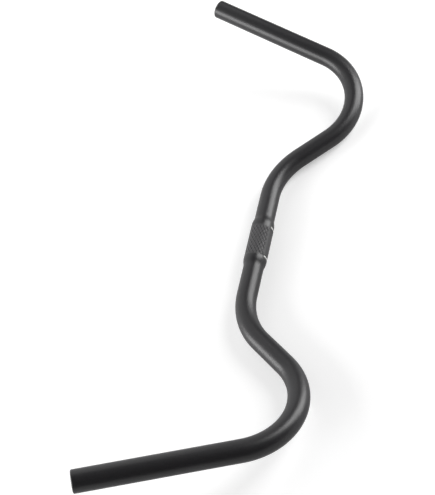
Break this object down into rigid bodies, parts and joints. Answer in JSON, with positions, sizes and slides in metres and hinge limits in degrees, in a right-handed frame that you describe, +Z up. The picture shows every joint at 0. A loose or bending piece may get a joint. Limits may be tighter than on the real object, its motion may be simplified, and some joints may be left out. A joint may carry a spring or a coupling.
{
  "type": "city bike handlebar",
  "caption": "Swept-back city bike handlebar: a bent round tube with a thicker knurled clamp in the middle and straight, slightly rising grip ends.",
  "frame": {"origin": "middle of the stem clamp, on the bar's axis", "axes": "+X along the clamp to the rider's right, +Y forwards, +Z up, with the front bends in the XY plane"},
  "size_m": [0.6724, 0.1926, 0.0934],
  "materials": {
    "tube": "satin black coating"
  },
  "bodies": {
    "root": {"handlebar": "tube"}
  },
  "joints": []
}
